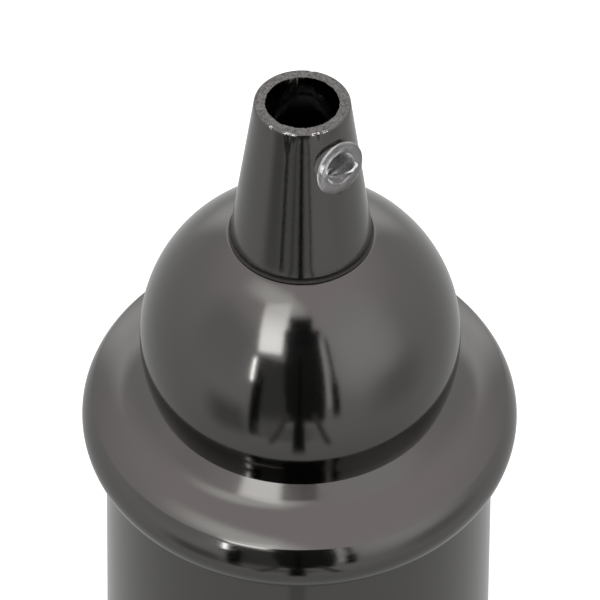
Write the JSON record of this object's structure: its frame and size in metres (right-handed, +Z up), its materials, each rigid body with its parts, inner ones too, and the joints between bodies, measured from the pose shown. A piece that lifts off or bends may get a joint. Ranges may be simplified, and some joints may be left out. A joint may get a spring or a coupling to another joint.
{
  "type": "pendant lamp holder",
  "caption": "Screw-lamp holder in a plated cover: ball cap on a rolled collar and a plain cup, with a conical cord grip, clear clamp screw and porcelain insert.",
  "frame": {"origin": "centre of the cup's lower rim, where the holder stands", "axes": "+Z up the common axis towards the cord hole; -Y towards the side where the clamp screw is"},
  "size_m": [0.0526, 0.0526, 0.1073],
  "materials": {
    "black_chrome": "black chrome plated, mirror bright",
    "fibre": "black vulcanised fibre",
    "clear_nylon": "clear moulded",
    "zinc_steel": "zinc plated",
    "spring_steel": "bright spring steel",
    "white_plastic": "moulded",
    "porcelain": "white glaze",
    "brass": "bright",
    "fibre_board": "pressed board"
  },
  "bodies": {
    "insert": {"porcelain_body": "porcelain", "screw_shell": "brass", "insulating_disc": "fibre_board", "spring_seat": "brass", "centre_rivet": "brass", "shell_rivets": "brass", "contact_spring": "spring_steel", "live_strip": "brass", "neutral_strip": "brass", "live_terminal": "brass", "neutral_terminal": "brass", "bracket": "zinc_steel", "bracket_screws": "zinc_steel", "bracket_grub_screw": "spring_steel", "earth_washer": "zinc_steel", "threaded_tube": "zinc_steel", "tube_nut": "zinc_steel", "tube_bush": "white_plastic", "star_washer": "spring_steel"},
    "contact": {"centre_contact": "brass"},
    "cover": {"ball_cap": "black_chrome", "collar": "black_chrome", "cup": "black_chrome"},
    "washer": {"grip_washer": "fibre"},
    "grip": {"cord_grip": "black_chrome"},
    "clamp": {"clamp_screw": "clear_nylon"},
    "live_screw": {"live_terminal_screw": "zinc_steel"},
    "neutral_screw": {"neutral_terminal_screw": "zinc_steel"},
    "earth": {"earth_screw": "brass"}
  },
  "joints": [
    {"name": "centre_contact_press", "type": "slide", "parent": "insert", "child": "contact", "axis": [0, 0, 1], "range_m": [0, 0.0018], "stiffness_N_per_m": 1500, "springref_m": -0.001, "deforming": ["contact_spring"]},
    {"name": "cover_lift", "type": "slide", "parent": "insert", "child": "cover", "axis": [0, 0, 1], "range_m": [0, 0.055]},
    {"name": "grip_rise", "type": "slide", "parent": "cover", "child": "washer", "axis": [0, 0, 1], "range_m": [0, 0.009]},
    {"name": "grip_unscrew", "type": "hinge", "parent": "washer", "child": "grip", "pos_m": [0, 0, 0.08733], "axis": [0, 0, 1], "range_deg": [0, 3240]},
    {"name": "clamp_screw_travel", "type": "slide", "parent": "grip", "child": "clamp", "axis": [0, -0.9901, 0.1401], "range_m": [0, 0.003]},
    {"name": "live_screw_travel", "type": "slide", "parent": "insert", "child": "live_screw", "axis": [0, 0, 1], "range_m": [0, 0.002]},
    {"name": "neutral_screw_travel", "type": "slide", "parent": "insert", "child": "neutral_screw", "axis": [0, 0, 1], "range_m": [0, 0.002]},
    {"name": "earth_screw_travel", "type": "slide", "parent": "insert", "child": "earth", "axis": [1, 0, 0], "range_m": [0, 0.002]}
  ],
  "couplings": [
    {"joint": "grip_rise", "follows": "grip_unscrew", "m_per_rad": 0.00015915}
  ]
}
